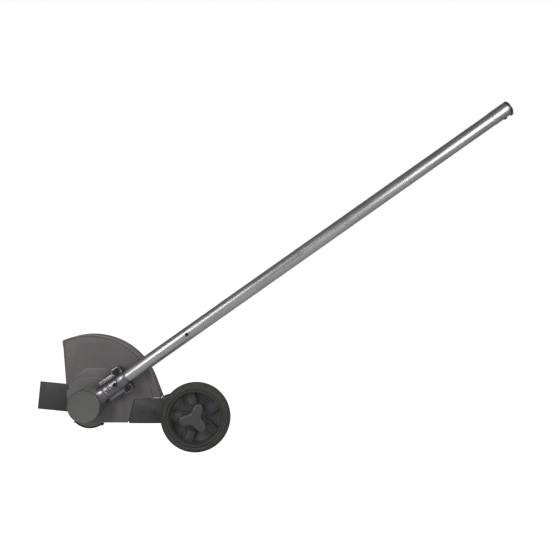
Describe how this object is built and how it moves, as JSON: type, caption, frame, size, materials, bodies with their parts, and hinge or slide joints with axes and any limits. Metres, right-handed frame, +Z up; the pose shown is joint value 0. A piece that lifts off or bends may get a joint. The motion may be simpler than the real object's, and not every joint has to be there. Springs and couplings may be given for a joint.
{
  "type": "lawn edger attachment",
  "caption": "Lawn edger attachment: tubular boom with lock button, bevel gearcase, guarded bar blade and a height-adjustable depth wheel with a three-lobed knob.",
  "frame": {"origin": "middle of the boom's upper end face, where the power head plugs on", "axes": "+X away from the cut towards the power head, +Z up, -Y on the side of the gearcase and the wheel"},
  "size_m": [0.8614, 0.084, 0.6208],
  "materials": {
    "tube_aluminium": "brushed",
    "case_grey": "cast, grey coat",
    "clamp_silver": "as cast",
    "guard_grey": "moulded, fine grain",
    "black_steel": "satin black",
    "black_screw": "black oxide",
    "black_plastic": "moulded",
    "tyre_rubber": "matt",
    "soft_rubber": "matt",
    "bright_steel": "machined",
    "bronze": "sintered"
  },
  "bodies": {
    "frame": {"boom_tube": "tube_aluminium", "end_collar": "black_plastic", "tube_rivet": "black_screw", "lower_bushing": "black_plastic", "middle_bushing": "black_plastic", "upper_bushing": "black_plastic", "gearcase": "case_grey", "clamp_cap": "clamp_silver", "clamp_screw_upper": "black_screw", "clamp_screw_lower": "black_screw", "set_screw": "black_screw", "input_bearing_lower": "bright_steel", "input_bearing_upper": "bright_steel", "bearing_circlip": "black_screw", "cover_gasket": "soft_rubber", "front_cover": "case_grey", "front_bearing": "bright_steel", "rear_bearing": "bright_steel", "shaft_seal": "soft_rubber", "guard": "guard_grey", "guard_screw_1": "black_screw", "guard_screw_2": "black_screw", "guard_screw_3": "black_screw", "skirt_band": "soft_rubber", "wheel_bracket": "black_steel", "bracket_bolt_front": "black_screw", "bracket_bolt_rear": "black_screw", "bracket_nut_front": "bright_steel", "bracket_nut_rear": "bright_steel"},
    "button": {"lock_button": "black_screw", "button_leaf": "bright_steel"},
    "drive": {"drive_shaft": "bright_steel", "pinion": "bright_steel"},
    "output": {"output_shaft": "bright_steel", "driven_gear": "bright_steel", "gear_circlip": "black_screw", "inner_flange": "bright_steel", "blade": "black_steel", "outer_flange": "black_steel", "blade_nut": "bright_steel"},
    "axle": {"axle_bolt": "bright_steel", "axle_sleeve": "bright_steel", "inner_washer": "bright_steel", "outer_washer": "bright_steel"},
    "wheel_set": {"wheel": "black_plastic", "tyre": "tyre_rubber", "wheel_bush_inner": "bronze", "wheel_bush_outer": "bronze"},
    "knob_set": {"knob": "black_plastic", "knob_insert": "bright_steel"}
  },
  "joints": [
    {"name": "blade_spin", "type": "hinge", "parent": "frame", "child": "output", "pos_m": [-0.74932, 0.045, -0.52859], "axis": [0, -1, 0], "continuous": true},
    {"name": "drive_spin", "type": "hinge", "parent": "frame", "child": "drive", "pos_m": [-0.74932, 0, -0.52859], "axis": [0.8171, 0, 0.5764], "continuous": true},
    {"name": "wheel_height", "type": "slide", "parent": "frame", "child": "axle", "axis": [0, 0, 1], "range_m": [-0.008, 0.03]},
    {"name": "wheel_spin", "type": "hinge", "parent": "axle", "child": "wheel_set", "pos_m": [-0.55532, 0, -0.54909], "axis": [0, -1, 0], "continuous": true},
    {"name": "knob_turn", "type": "hinge", "parent": "axle", "child": "knob_set", "pos_m": [-0.55532, 0, -0.54909], "axis": [0, -1, 0], "range_deg": [0, 360]},
    {"name": "button_press", "type": "slide", "parent": "frame", "child": "button", "axis": [-0.5764, 0, 0.8171], "range_m": [0, 0.002], "stiffness_N_per_m": 3000, "springref_m": -0.001}
  ],
  "couplings": [
    {"joint": "drive_spin", "follows": "blade_spin", "ratio": 1.3571}
  ]
}
